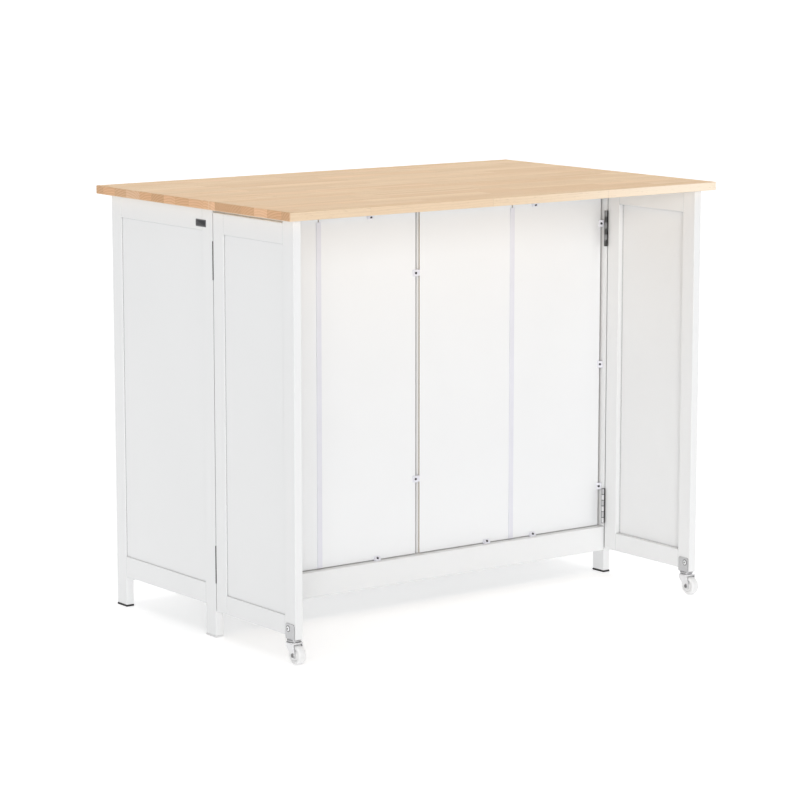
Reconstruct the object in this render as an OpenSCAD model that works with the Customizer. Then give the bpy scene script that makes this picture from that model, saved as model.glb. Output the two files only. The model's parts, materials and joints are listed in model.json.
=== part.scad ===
// Drop leaf kitchen island: a painted cabinet on four legs with a wooden worktop, a leaf
// hinged along one long edge, and two swinging gates on casters that carry the leaf.
// Millimetres. +Z is up, X runs along the worktop, the leaf is on the -Y side and the
// drawers and doors are on the +Y side. The origin is on the floor under the middle.
// Left is -X and right is +X. The gates stand open, square to the cabinet.

/* [Worktop] */
// Length of the worktop and of the leaf
top_l = 1120; // [1000:5:1400]
// Depth of the fixed worktop
top_d = 440; // [400:5:560]
// Depth of the hinged leaf
leaf_d = 289; // [240:1:360]
// Thickness of the worktop and of the leaf
top_t = 18; // [15:1:30]
// Height of the worktop's upper face above the floor
height = 915; // [780:5:1100]
// Gap between the worktop and the leaf
seam_gap = 1; // [0.6:0.1:2]

/* [Cabinet] */
// Width of the cabinet over its side frames
cab_w = 1074; // [860:2:1360]
// How far the worktop stands out over the doors
front_overhang = 25; // [24:1:60]
// How far the worktop stands out behind the cabinet, over the folded gates
back_overhang = 23; // [21:1:40]
// Thickness of legs, rails, gates and doors
board_t = 18; // [15:1:24]
// Width of the legs and of the gates' stiles
leg_w = 38; // [32:1:60]
// Floor to the lower edge of the side frames' bottom rails
side_rail_z = 67; // [62:1:90]
// Width of the side frames' bottom rails
side_rail_w = 45; // [30:1:70]
// Width of the side frames' top rails
side_top_w = 47; // [35:1:80]
// Thickness of the bottom board and of the shelves
shelf_t = 15; // [12:1:22]
// How far the bottom board lies below the upper edges of the side frames' bottom rails
board_drop = 5; // [0:0.5:10]
// Thickness of the partition between the two bays
partition_t = 16; // [12:1:22]
// Width of the front lower rail, under the bottom board
skirt_w = 40; // [30:1:50]
// Height of the glides under the legs
glide_h = 4; // [2:0.5:8]

/* [Gates] */
// Length of a gate, from its hinge edge to its end
gate_l = 288; // [230:1:330]
// How far a gate's end stile runs below its bottom rail
stile_drop = 5; // [0:0.5:15]
// Width of a gate's bottom rail
gate_bottom_w = 40; // [30:1:60]
// Width of a gate's top rail
gate_top_w = 42; // [30:1:60]
// Space over a gate's top rail, for the leaf's hinges
gate_top_gap = 8; // [7.5:0.5:14]
// Length of a gate's hinges
gate_hinge_l = 80; // [60:1:110]
// Inset of a gate's hinges from its upper and lower edges
gate_hinge_inset = 59; // [30:1:90]

/* [Casters] */
// Diameter of a caster's wheel
wheel_d = 40; // [30:1:50]
// Width of a caster's wheel over its tread
wheel_w = 18; // [12:1:20]
// Trail of the wheel behind the swivel
caster_trail = 12; // [8:1:16]
// Gap between the wheel and the plate of the fork
wheel_gap = 3.4; // [2:0.1:6]

/* [Drawers and doors] */
// Height of the opening for a drawer
drawer_h = 130; // [100:1:180]
// Width of the rail over the drawers
front_top_w = 25; // [18:1:40]
// Width of the rails between the drawers and the doors
front_mid_w = 18; // [15:1:30]
// Gap round the drawer fronts and the doors
front_gap = 2; // [1.5:0.1:3]
// Width of the doors' stiles and rails
door_stile = 50; // [40:1:70]
// Thickness of the drawers' sides and backs
box_t = 12; // [9:1:15]
// How far a knob stands out
knob_l = 24; // [18:1:24]
// Diameter of a knob
knob_d = 30; // [20:1:36]
// Height of the shelves' lower faces above the floor
shelf_z = 410; // [300:5:560]

/* [Panels] */
// Thickness of the panels in the frames and of the hardboard
panel_t = 3; // [2.5:0.1:4]
// Depth of the panels behind the outer faces of their frames
panel_recess = 3; // [2:0.5:6]
// Chamfer on the edges of the boards
ease = 0.8; // [0.3:0.1:1.5]
// Width of the gap between the hardboard backs in the middle
back_gap = 11.5; // [8:0.5:14]
// Gap between the hardboard backs and the legs
side_gap = 4; // [2:0.5:6]

/* [Hidden] */
$fn = 48;

LEFT = -1;
RIGHT = 1;
bore_fn = 32;                              // round holes and pins
cut = 1;                                   // how far a cut runs past a face

// colours, as seen on the object
paint = [0.93, 0.93, 0.92];
hardboard = [0.95, 0.95, 0.95];
wood = [0.90, 0.78, 0.62];
steel = [0.72, 0.72, 0.73];
dark_steel = [0.20, 0.20, 0.21];
plastic = [0.90, 0.90, 0.93];
nylon = [0.93, 0.93, 0.93];
rubber = [0.08, 0.08, 0.08];

// the worktop's place
depth = top_d + seam_gap + leaf_d;
y_top_front = depth / 2;
y_seam = y_top_front - top_d;              // back edge of the fixed worktop
y_pin_leaf = y_seam - seam_gap / 2;
z_under = height - top_t;                  // underside of the worktop

// the cabinet's place
y_front = y_top_front - front_overhang;
y_back = y_seam + back_overhang;
cab_d = y_front - y_back;
x_out = cab_w / 2;                         // outer face of a side frame
x_in = x_out - board_t;                    // inner face of a side frame
x_mid = partition_t / 2;                   // face of the partition
bay_w = x_in - x_mid;
z_board = side_rail_z + side_rail_w - board_drop;  // upper face of the bottom board
z_skirt = z_board - shelf_t - skirt_w;     // lower edge of the front and back rails

// frames with a panel in a groove
fit = 0.1;                                 // clearance of panels, tongues and pins
thin_ease = 0.4;                           // chamfer on inner boards
top_ease = 1.2;                            // chamfer on the worktop and the leaf
tongue = 6;                                // how far panels and rails reach into the grooves
groove_d = tongue + 0.5;

// casters, from the floor up: wheel, gap, fork plate, two races and saddle
saddle_t = 1.5;
neck_r = 12;
neck_h = 1;
race_r = 14.5;
race_h = 2.7;                              // upper race with its neck
race_gap = 0.6;
lower_race_r = 12.5;
lower_race_h = 1.8;
crown_t = 2;
crown_r = 16;
wheel_r = wheel_d / 2;
z_crown = wheel_d + wheel_gap;             // lower face of the fork plate
z_lower_race = z_crown + crown_t + lower_race_h;
z_race = z_lower_race + race_gap;          // lower face of the upper race
z_web = z_race + race_h;                   // lower face of the saddle
z_stile = z_web + saddle_t;                // lower end of a gate's end stile
z_balls = (z_race + z_lower_race) / 2;

// A frame is [width, lower edge, upper edge, stile width, bottom rail, top rail].
SIDE = [cab_d, side_rail_z, z_under, leg_w, side_rail_w, side_top_w];
gate_z = z_stile + stile_drop;
z_gate_top = z_under - gate_top_gap;
GATE = [gate_l, gate_z, z_gate_top, leg_w, gate_bottom_w, gate_top_w];
stile_top_gap = 0.5;                       // end stile to the underside of the leaf

// the back: hardboard as deep as the rails are thick, laid on battens, the partition and an
// inner top rail
y_hard = y_back + board_t;                 // outer face of the hardboard
y_carcass = y_hard + panel_t;              // what the hardboard lies on
batten_w = 16;
batten_t = 8;
back_top_w = 39;
back_inner_w = 59;
back_inner_t = 12;
z_back_top = z_under - back_top_w;         // lower edges of the two top rails
z_back_inner = z_under - back_inner_w;
hard_foot = 2;                             // hardboard to the bottom rail
hard_top = 31;                             // upper edge of the hardboard under the worktop
x_hard_in = back_gap / 2;
x_hard_out = x_in - side_gap;
x_joint = (x_hard_in + x_hard_out) / 2;    // joint of the two hardboards of a bay
strip_w = 12;
strip_wall = 1.5;
strip_web = 2;
strip_top = 47;                            // upper end of a strip under the worktop
mid_groove = 6;                            // groove beside the hardboard in the middle
edge_groove_d = 6;                         // depth of the grooves beside the hardboards

// clips that hold the hardboard: wedges in its corners, plates over the gap in the middle
clip_w = 15;
wedge_l = 9.5;                             // along the hardboard
wedge_t = 8;                               // out from the hardboard
wedge_edge = 1;
wedge_tilt = atan((wedge_t - wedge_edge) / (wedge_l - wedge_edge));
plate_t = 2;
plate_corner = 2;
plate_foot_gap = 0.3;
clip_side_z = [z_board + 92, (z_board + z_under) / 2 - 22, z_under - 97];
clip_mid_z = [z_board + 167, z_under - 172];
clip_top_x = [-x_joint - 126, -x_joint + 134, x_joint + 63];
clip_bottom_x = [-x_joint - 126, -x_joint + 150, x_joint - 70, x_joint + 61];
clip_screw_l = 14;
clip_screw_r = 1.5;
clip_head_r = 2.6;

// gate and door hinges, closed at rest: both leaves lie in the gap between the edges
hinge_off = 1.5;                           // pin to the face that a leaf is fixed to
hinge_leaf_t = 1.2;
hinge_r = 3.5;                             // knuckle
hinge_pin_r = 1.5;
hinge_reach = 5;                           // pin to the corner of the boards
hinge_margin = 3;                          // leaf's edge to the face of the board
hinge_leaf_w = hinge_reach + board_t - hinge_margin;
hinge_screws = 3;                          // countersunk holes in a leaf
hinge_hole_r = 1.6;
hinge_sink_r = 3;
hinge_stagger = 2.5;                       // middle hole to the line of the outer ones
hinge_gap = 2 * hinge_off;                 // gap between the boards that a hinge joins
gate_knuckles = 6;
knuckle_gap = 0.3;
pin_clear = 0.15;                          // bore of the moving knuckles round the pin

x_gate_pin = x_in - hinge_reach;
y_gate_pin = y_back - hinge_off;
y_gate_edge = y_back - hinge_gap;          // hinge edge of an open gate
y_gate_end = y_gate_edge - gate_l;
gate_hinge_z = [gate_z + gate_hinge_inset, z_gate_top - gate_hinge_inset - gate_hinge_l];

// drop leaf hinges, under the worktop
leaf_hinge_inset = 119;                    // outer hinges to the side frames
leaf_hinge_x = [-1, 0, 1] * (x_in - leaf_hinge_inset);
leaf_hinge_l = 60;
leaf_hinge_w = y_back - y_pin_leaf - 0.5;  // ends before the outer top rail
leaf_hinge_r = 2.75;
leaf_hinge_pin_r = 1.25;
leaf_hinge_off = leaf_hinge_r + fit;
leaf_hinge_reach = leaf_hinge_r + 0.5;     // pin to the edge of a leaf
leaf_knuckles = 5;
z_leaf_pin = z_under - leaf_hinge_off;

// doors
z_mid_top = z_under - front_top_w - drawer_h;
z_door_top = z_mid_top - front_mid_w - front_gap;
z_door = z_board + front_gap;
door_w = bay_w - hinge_gap - front_gap;
DOOR = [door_w, z_door, z_door_top, door_stile, door_stile, door_stile];
x_door_edge = x_in - hinge_gap;            // hinge edge of a door
x_door_pin = x_in - hinge_off;
y_door_pin = y_front + hinge_reach;
door_hinge_l = 64;
door_hinge_inset = 70;
door_knuckles = 5;
door_hinge_z = [z_door + door_hinge_inset, z_door_top - door_hinge_inset - door_hinge_l];

// drawers
slide_t = 12.5;                            // space for a runner on each side
slide_h = 35;
slide_front_gap = 2;                       // runners to the drawer front
slide_front = board_t + slide_front_gap;   // front end of a runner behind the front face
slide_back_gap = 5;                        // runners to the battens
slide_l = y_front - slide_front - (y_carcass + batten_t + slide_back_gap);
slide_wall = 1.2;
slide_clear = 0.4;
slide_flange = 9;
z_slide = z_mid_top + drawer_h / 2 - slide_h / 2;
box_back_gap = 4;                          // closed drawers to the inner top rail
box_l = y_front - board_t - (y_carcass + back_inner_t + box_back_gap);
box_foot = 14;                             // drawer opening to the lower edge of the box
box_head = 28;                             // upper edge of the box to the top of the opening
box_h = drawer_h - box_foot - box_head;
box_bottom = 8;                            // lower edge of the box to its bottom panel
x_box_in = x_mid + slide_t;
x_box_out = x_in - slide_t;
field_border = 30;                         // border round the sunk field of a drawer front

// shelves
shelf_gap = 1;                             // each end of a shelf to the cabinet
shelf_back_gap = 1.5;
shelf_front_gap = 4;
pin_r = 2.5;
pin_in = 6;                                // length of a shelf pin in its hole
pin_out = 8;                               // length of a shelf pin under the shelf
pin_rows = [-60, 0, 60];
pin_edge = 5;                              // shelf pin to a leg's inner edge
y_pin_back = y_back + leg_w - pin_edge;
y_pin_front = y_front - leg_w + pin_edge;
y_shelf_back = y_carcass + batten_t + shelf_back_gap;
y_shelf_front = y_front - board_t - shelf_front_gap;

// saddle, swivel and fork of a caster
x_caster = x_out - board_t / 2;
y_caster = y_gate_end + leg_w / 2;
ear_w = 30;
ear_h = 32;
ear_r = 4;
saddle_screw_z = 20;                       // screw above the end of the stile
saddle_screw_y = 5.5;                      // screw to the middle of the stile
saddle_screw_l = 12;
saddle_screw_r = 2;
saddle_head_r = 6;
ball_r = 1.3;
ball_ring = 9.5;
balls = 10;
ball_clear = 0.35;
fork_t = 1.8;
fork_gap = 1;                              // wheel's tread to a fork leg
fork_back = 11;                            // kingpin to the fork's back edge
fork_front = 15;
axle_r = 3;
axle_boss = 7;
axle_head_r = axle_r + 1.5;
axle_head_t = 1.2;
kingpin_r = 4;
kingpin_head = 7;
kingpin_head_t = 1.5;
kingpin_gap = 0.3;                         // kingpin's head to the fork
wheel_round = 4.5;                         // round of the wheel's tread
wheel_clear = 0.2;                         // wheel and fork round their pins
hub_w = 3;
dish_ring = 10.5;                          // hollow in the wheel's faces
dish_r = 3;

screw_head_t = 1.8;                        // height of a screw's dome

// ---------- shared forms ----------

// Builds the right-hand piece, or its mirror image on the left.
module on_side(side) {
    if (side < 0) mirror([1, 0, 0]) children();
    else children();
}

module chamfered_rect(w, h, e) {
    polygon([[e, 0], [w - e, 0], [w, e], [w, h - e], [w - e, h], [e, h], [0, h - e], [0, e]]);
}

// A board with all its edges eased, from the origin.
module board(w, t, h, e = ease) {
    intersection() {
        linear_extrude(h) chamfered_rect(w, t, e);
        translate([0, t, 0]) rotate([90, 0, 0]) linear_extrude(t) chamfered_rect(w, h, e);
        rotate([90, 0, 90]) linear_extrude(w) chamfered_rect(t, h, e);
    }
}

// A board between two corners.
module board_at(a, b, e = ease) {
    translate(a) board(b.x - a.x, b.y - a.y, b.z - a.z, e);
}

module box_at(a, b) {
    translate(a) cube(b - a);
}

// Frames are drawn with the outer face at y = 0, the width along x, at their real height.

module frame_groove(x, z0, z1) {
    box_at([x - groove_d, panel_recess - fit, z0], [x + 1, panel_recess + panel_t + fit, z1]);
}

// Stile at the near end of a frame, from z0 to z1. The groove is as tall as the frame.
module frame_stile(f, z0, z1) {
    difference() {
        translate([0, 0, z0]) board(f[3], board_t, z1 - z0);
        frame_groove(f[3], f[1], f[2]);
    }
}

module frame_far_stile(f, z0, z1) {
    translate([f[0], 0, 0]) mirror([1, 0, 0]) frame_stile(f, z0, z1);
}

// A rail with a tongue at each end and a groove along its upper or lower edge.
module frame_rail(f, z, w, groove_up) {
    inner = f[0] - 2 * f[3];
    z_groove = groove_up ? z + w - groove_d : z - 1;
    difference() {
        union() {
            translate([f[3], 0, z]) board(inner, board_t, w);
            box_at([f[3] - tongue, panel_recess, z + ease],
                   [f[3] + inner + tongue, panel_recess + panel_t, z + w - ease]);
        }
        box_at([f[3] - tongue - 1, panel_recess - fit, z_groove],
               [f[3] + inner + tongue + 1, panel_recess + panel_t + fit, z_groove + groove_d + 1]);
    }
}

module frame_rails(f) {
    frame_rail(f, f[1], f[4], true);
    frame_rail(f, f[2] - f[5], f[5], false);
}

module frame_panel(f) {
    box_at([f[3] - tongue, panel_recess, f[1] + f[4] - tongue],
           [f[0] - f[3] + tongue, panel_recess + panel_t, f[2] - f[5] + tongue]);
}

// One half of a butt hinge. The pin lies on the z axis, the leaf reaches along +x and is
// fixed by its face at y = off. The fixed half has the even knuckles and the pin.
module hinge_half(l, knuckles, fixed, r, p, off, reach, leaf_w) {
    pitch = l / knuckles;
    bore = fixed ? p : p + pin_clear;
    difference() {
        union() {
            box_at([reach, off - hinge_leaf_t, 0], [leaf_w, off, l]);
            for (i = [0 : knuckles - 1]) if ((i % 2 == 0) == fixed) {
                z0 = i * pitch + (i == 0 ? 0 : knuckle_gap / 2);
                z1 = (i + 1) * pitch - (i == knuckles - 1 ? 0 : knuckle_gap / 2);
                translate([0, 0, z0]) cylinder(h = z1 - z0, r = r, $fn = bore_fn);
                box_at([0, off - hinge_leaf_t, z0], [reach + 1, off, z1]);
            }
        }
        translate([0, 0, -1]) cylinder(h = l + 2, r = bore, $fn = bore_fn);
        for (i = [0 : hinge_screws - 1])
            translate([(reach + leaf_w) / 2 + (i % 2 == 0 ? 1 : -1) * hinge_stagger / 2, off,
                       (i + 0.5) * l / hinge_screws])
                rotate([90, 0, 0]) sink_hole();
    }
}

// A countersunk hole through a hinge leaf, up along z.
module sink_hole() {
    slope = (hinge_sink_r - hinge_hole_r) / hinge_leaf_t;
    translate([0, 0, -cut]) cylinder(h = hinge_leaf_t + 2 * cut, r = hinge_hole_r, $fn = bore_fn);
    cylinder(h = hinge_leaf_t + cut, r1 = hinge_hole_r, r2 = hinge_sink_r + slope * cut, $fn = bore_fn);
}

// A screw along +y, with its domed head on y = 0 and a hexagon socket in it.
module pan_screw(l, r, head_r) {
    dome_r = head_r * 1.6;
    rotate([90, 0, 0]) difference() {
        union() {
            rotate_extrude($fn = bore_fn) intersection() {
                translate([0, screw_head_t - dome_r]) circle(r = dome_r, $fn = 64);
                square([head_r, screw_head_t]);
            }
            translate([0, 0, -l]) cylinder(h = l + 0.1, r = r, $fn = bore_fn);
        }
        translate([0, 0, screw_head_t - 1.1]) linear_extrude(2) circle(r = head_r * 0.36, $fn = 6);
    }
}

// The hole of a screw, from in front of its seat to behind its end.
module screw_hole(l, r) {
    translate([0, -cut, 0]) rotate([-90, 0, 0]) cylinder(h = l + 2 * cut, r = r + fit, $fn = bore_fn);
}

// ---------- worktop ----------

module worktop() {
    color(wood) board_at([-top_l / 2, y_seam, z_under], [top_l / 2, y_top_front, height], top_ease);
}

module drop_leaf() {
    color(wood) board_at([-top_l / 2, -depth / 2, z_under],
                         [top_l / 2, y_seam - seam_gap, height], top_ease);
}

// Places a hinge under the worktop: its pin along x, its leaf towards +y (dir 1) or -y.
module at_leaf_hinges(dir) {
    for (x = leaf_hinge_x)
        translate([x + dir * leaf_hinge_l / 2, y_pin_leaf, z_leaf_pin])
            rotate([0, 0, dir < 0 ? 180 : 0]) rotate([0, -90, 0]) rotate([0, 0, 90])
                mirror([0, 1, 0]) children();
}

module leaf_hinge_plates() {
    color(steel) at_leaf_hinges(1) {
        hinge_half(leaf_hinge_l, leaf_knuckles, true, leaf_hinge_r, leaf_hinge_pin_r,
                   leaf_hinge_off, leaf_hinge_reach, leaf_hinge_w);
        cylinder(h = leaf_hinge_l, r = leaf_hinge_pin_r, $fn = bore_fn);
    }
}

module leaf_hinge_leaves() {
    color(steel) at_leaf_hinges(-1)
        hinge_half(leaf_hinge_l, leaf_knuckles, false, leaf_hinge_r, leaf_hinge_pin_r,
                   leaf_hinge_off, leaf_hinge_reach, leaf_hinge_w);
}

// ---------- cabinet ----------

// A side frame's own axes: width from the back to the front, outer face outside.
module in_side_frame(side) {
    on_side(side) translate([x_out, y_back, 0]) rotate([0, 0, 90]) children();
}

// Holes for the shelf pins, in a leg and through a batten that reaches in front of them.
module pin_holes(y) {
    for (row = pin_rows)
        translate([x_in - batten_w - 1, y, shelf_z - pin_r + row]) rotate([0, 90, 0])
            cylinder(h = batten_w + 1 + pin_in + fit, r = pin_r + fit, $fn = bore_fn);
}

module leg_back(side) {
    color(paint) difference() {
        in_side_frame(side) frame_stile(SIDE, glide_h, z_under);
        on_side(side) pin_holes(y_pin_back);
        clip_holes();
    }
}

module leg_front(side) {
    color(paint) difference() {
        in_side_frame(side) frame_far_stile(SIDE, glide_h, z_under);
        on_side(side) pin_holes(y_pin_front);
    }
}

module side_rails(side) {
    color(paint) in_side_frame(side) frame_rails(SIDE);
}

module side_panel(side) {
    color(paint) in_side_frame(side) frame_panel(SIDE);
}

module bottom_board() {
    color(paint) difference() {
        board_at([-x_in, y_hard, z_board - shelf_t], [x_in, y_front, z_board], thin_ease);
        clip_holes();
    }
}

// A groove beside the right edge of each hardboard, in what lies behind it.
module edge_grooves() {
    for (groove = [[-x_hard_in, mid_groove], [x_hard_out, side_gap]])
        box_at([groove[0], y_carcass - cut, z_board - cut],
               [groove[0] + groove[1], y_carcass + edge_groove_d, z_back_top]);
}

module centre_partition() {
    color(paint) difference() {
        board_at([-x_mid, y_carcass, z_board], [x_mid, y_front, z_under], thin_ease);
        box_at([-x_mid - 1, y_carcass - 1, z_back_inner],
               [x_mid + 1, y_carcass + back_inner_t, z_under + 1]);
        box_at([-x_mid - 1, y_front - board_t, z_under - front_top_w],
               [x_mid + 1, y_front + 1, z_under + 1]);
        for (y = [y_pin_back, y_pin_front], row = pin_rows, s = [LEFT, RIGHT])
            translate([s * (x_mid - pin_in - fit), y, shelf_z - pin_r + row])
                rotate([0, s * 90, 0]) cylinder(h = pin_in + 1, r = pin_r + fit, $fn = bore_fn);
        edge_grooves();
        clip_holes();
    }
}

// The upper edges of the hardboards stand between an outer and an inner rail.
module back_top_rail() {
    color(paint) difference() {
        union() {
            board_at([-x_in, y_back, z_back_top], [x_in, y_hard, z_under]);
            board_at([-x_in, y_carcass, z_back_inner], [x_in, y_carcass + back_inner_t, z_under]);
        }
        edge_grooves();
        clip_holes();
    }
}

module back_bottom_rail() {
    color(paint) difference() {
        board_at([-x_in, y_back, z_skirt], [x_in, y_hard, z_board]);
        clip_holes();
    }
}

module front_rails() {
    color(paint) {
        board_at([-x_in, y_front - board_t, z_under - front_top_w], [x_in, y_front, z_under]);
        board_at([-x_in, y_front - board_t, z_skirt], [x_in, y_front, z_board - shelf_t]);
        for (side = [LEFT, RIGHT]) on_side(side)
            board_at([x_mid, y_front - board_t, z_mid_top - front_mid_w],
                     [x_in, y_front, z_mid_top]);
    }
}

module back_battens() {
    color(paint) difference() {
        for (side = [LEFT, RIGHT]) on_side(side) {
            board_at([x_in - batten_w, y_carcass, z_board],
                     [x_in, y_carcass + batten_t, z_back_inner], thin_ease);
            board_at([x_mid, y_carcass, z_board],
                     [x_in - batten_w, y_carcass + batten_t, z_board + batten_w], thin_ease);
        }
        for (side = [LEFT, RIGHT]) on_side(side) pin_holes(y_pin_back);
        edge_grooves();
        clip_holes();
    }
}

module back_panel(side) {
    color(hardboard) difference() {
        on_side(side)
            for (x = [[x_hard_in, x_joint - strip_web / 2], [x_joint + strip_web / 2, x_hard_out]])
                box_at([x[0], y_hard, z_board + hard_foot], [x[1], y_carcass, z_under - hard_top]);
        clip_holes();
    }
}

// An H-shaped strip that takes the edges of two hardboards. Its inner flange ends between
// the batten and the inner top rail.
module back_joint_strips() {
    z0 = z_board + hard_foot;
    z1 = z_under - strip_top;
    web = strip_web / 2 - fit;
    color(plastic) for (side = [LEFT, RIGHT]) on_side(side) {
        box_at([x_joint - strip_w / 2, y_hard - strip_wall, z0],
               [x_joint + strip_w / 2, y_hard, z1]);
        box_at([x_joint - web, y_hard - 0.5, z0], [x_joint + web, y_carcass, z1]);
        box_at([x_joint - strip_w / 2, y_carcass, z_board + batten_w],
               [x_joint + strip_w / 2, y_carcass + strip_wall, z_back_inner]);
    }
}

// A wedge for a corner: the hardboard is the plane y = 0, and the frame is the plane z = 0.
module wedge_clip() {
    difference() {
        rotate([90, 0, 90]) linear_extrude(clip_w, center = true)
            polygon([[0, 0], [0, wedge_l], [-wedge_edge, wedge_l], [-wedge_t, wedge_edge], [-wedge_t, 0]]);
        on_wedge() screw_hole(clip_screw_l, clip_screw_r);
    }
}

// The middle of a wedge's slope, with +y going straight into it.
module on_wedge() {
    translate([0, -wedge_t - wedge_edge, wedge_l + wedge_edge] / 2) rotate([-wedge_tilt, 0, 0])
        children();
}

// A square plate on y = 0, with a foot that fills the gap between the hardboards.
module plate_clip() {
    difference() {
        union() {
            rotate([90, 0, 0]) linear_extrude(plate_t) {
                square([clip_w, clip_w - 2 * plate_corner], center = true);
                square([clip_w - 2 * plate_corner, clip_w], center = true);
                for (x = [-1, 1], z = [-1, 1])
                    translate([x, z] * (clip_w / 2 - plate_corner)) circle(r = plate_corner);
            }
            box_at([plate_foot_gap, -1, 1 - clip_w / 2],
                   [back_gap - plate_foot_gap, panel_t, clip_w / 2 - 1]);
        }
        translate([0, -plate_t, 0]) screw_hole(clip_screw_l, clip_screw_r);
    }
}

module at_wedges() {
    for (side = [LEFT, RIGHT], z = clip_side_z) on_side(side)
        translate([x_in, y_hard, z]) rotate([0, -90, 0]) children();
    for (x = clip_top_x) translate([x, y_hard, z_back_top]) mirror([0, 0, 1]) children();
    for (x = clip_bottom_x) translate([x, y_hard, z_board]) children();
}

module at_plates() {
    for (z = clip_mid_z) translate([-x_hard_in, y_hard, z]) children();
}

module at_clip_screws() {
    at_wedges() on_wedge() children();
    at_plates() translate([0, -plate_t, 0]) children();
}

module panel_clips() {
    color(plastic) {
        at_wedges() wedge_clip();
        at_plates() plate_clip();
    }
}

module clip_screws() {
    color(dark_steel) at_clip_screws() pan_screw(clip_screw_l, clip_screw_r, clip_head_r);
}

module clip_holes() {
    at_clip_screws() screw_hole(clip_screw_l, clip_screw_r);
}

module shelves() {
    color(paint) for (side = [LEFT, RIGHT]) on_side(side)
        board_at([x_mid + shelf_gap, y_shelf_back, shelf_z],
                 [x_in - shelf_gap, y_shelf_front, shelf_z + shelf_t], thin_ease);
}

module shelf_pins() {
    color(steel) for (side = [LEFT, RIGHT], y = [y_pin_back, y_pin_front]) on_side(side) {
        translate([x_mid - pin_in, y, shelf_z - pin_r]) rotate([0, 90, 0])
            cylinder(h = pin_in + pin_out, r = pin_r, $fn = bore_fn);
        translate([x_in - pin_out, y, shelf_z - pin_r]) rotate([0, 90, 0])
            cylinder(h = pin_in + pin_out, r = pin_r, $fn = bore_fn);
    }
}

module leg_glides() {
    lip = 0.7;                             // how far a glide stands out round its leg
    color(rubber) for (side = [LEFT, RIGHT], y = [y_back, y_front - leg_w]) on_side(side)
        board_at([x_in - lip, y - lip, 0], [x_out + lip, y + leg_w + lip, glide_h], 1);
}

// ---------- hinges between cabinet, gates and doors ----------

// The pin's axis of each gate hinge, with the leaves towards the outer face.
module at_gate_hinges(side) {
    on_side(side) for (z = gate_hinge_z) translate([x_gate_pin, y_gate_pin, z]) children();
}

module at_door_hinges(side) {
    on_side(side) for (z = door_hinge_z)
        translate([x_door_pin, y_door_pin, z]) rotate([0, 0, -90]) children();
}

module board_hinge(l, knuckles, fixed) {
    mirror([0, fixed ? 0 : 1, 0])
        hinge_half(l, knuckles, fixed, hinge_r, hinge_pin_r, hinge_off, hinge_reach, hinge_leaf_w);
    if (fixed) cylinder(h = l, r = hinge_pin_r, $fn = bore_fn);
}

module gate_hinge_plates() {
    color(steel) for (side = [LEFT, RIGHT])
        at_gate_hinges(side) board_hinge(gate_hinge_l, gate_knuckles, true);
}

module door_hinge_plates() {
    color(steel) for (side = [LEFT, RIGHT])
        at_door_hinges(side) board_hinge(door_hinge_l, door_knuckles, true);
}

// ---------- gates ----------

// A gate's own axes: width from the hinge edge to the end, outer face outside.
module in_gate(side) {
    on_side(side) translate([x_out, y_gate_edge, 0]) mirror([0, 1, 0]) rotate([0, 0, 90]) children();
}

module gate_hinge_stile(side) {
    color(paint) in_gate(side) frame_stile(GATE, gate_z, z_gate_top);
}

// The screws of the two ears pass each other inside the stile.
module at_saddle_screws() {
    for (face = [-1, 1])
        translate([x_caster + face * board_t / 2, y_caster + face * saddle_screw_y,
                   z_stile + saddle_screw_z])
            rotate([0, 0, face * 90]) children();
}

module gate_end_stile(side) {
    color(paint) difference() {
        in_gate(side) frame_far_stile(GATE, z_stile, z_under - stile_top_gap);
        on_side(side) at_saddle_screws() screw_hole(saddle_screw_l, saddle_screw_r);
    }
}

module gate_rails(side) {
    color(paint) in_gate(side) frame_rails(GATE);
}

module gate_panel(side) {
    color(paint) in_gate(side) frame_panel(GATE);
}

module gate_hinge_leaves(side) {
    color(steel) at_gate_hinges(side) board_hinge(gate_hinge_l, gate_knuckles, false);
}

// ---------- casters ----------

module at_caster(side) {
    on_side(side) translate([x_caster, y_caster, 0]) children();
}

module ball_groove(z) {
    translate([0, 0, z]) rotate_extrude($fn = 48)
        translate([ball_ring, 0]) circle(r = ball_r + ball_clear, $fn = 24);
}

// The saddle that holds the stile's end, with the upper race and the kingpin riveted to it.
module caster_bracket(side) {
    half = board_t / 2;
    color(steel) at_caster(side) {
        difference() {
            union() {
                box_at([-half - saddle_t, -ear_w / 2, z_web], [half + saddle_t, ear_w / 2, z_stile]);
                for (s = [-1, 1])
                    translate([s * (half + saddle_t / 2) - saddle_t / 2, 0, z_web])
                        rotate([90, 0, 90]) linear_extrude(saddle_t) {
                            translate([-ear_w / 2, 0]) square([ear_w, ear_h - ear_r]);
                            translate([-ear_w / 2 + ear_r, 0]) square([ear_w - 2 * ear_r, ear_h]);
                            for (y = [-1, 1])
                                translate([y * (ear_w / 2 - ear_r), ear_h - ear_r]) circle(r = ear_r);
                        }
                translate([0, 0, z_race]) cylinder(h = race_h - neck_h, r = race_r);
                translate([0, 0, z_race]) cylinder(h = race_h + 0.5, r = neck_r);
                translate([0, 0, z_crown - kingpin_gap])
                    cylinder(h = z_web - z_crown + kingpin_gap + 0.5, r = kingpin_r);
                translate([0, 0, z_crown - kingpin_gap - kingpin_head_t])
                    cylinder(h = kingpin_head_t, r = kingpin_head);
            }
            ball_groove(z_balls);
        }
        translate([-x_caster, -y_caster, 0]) at_saddle_screws()
            translate([0, -saddle_t, 0]) pan_screw(saddle_screw_l, saddle_screw_r, saddle_head_r);
    }
}

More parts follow.
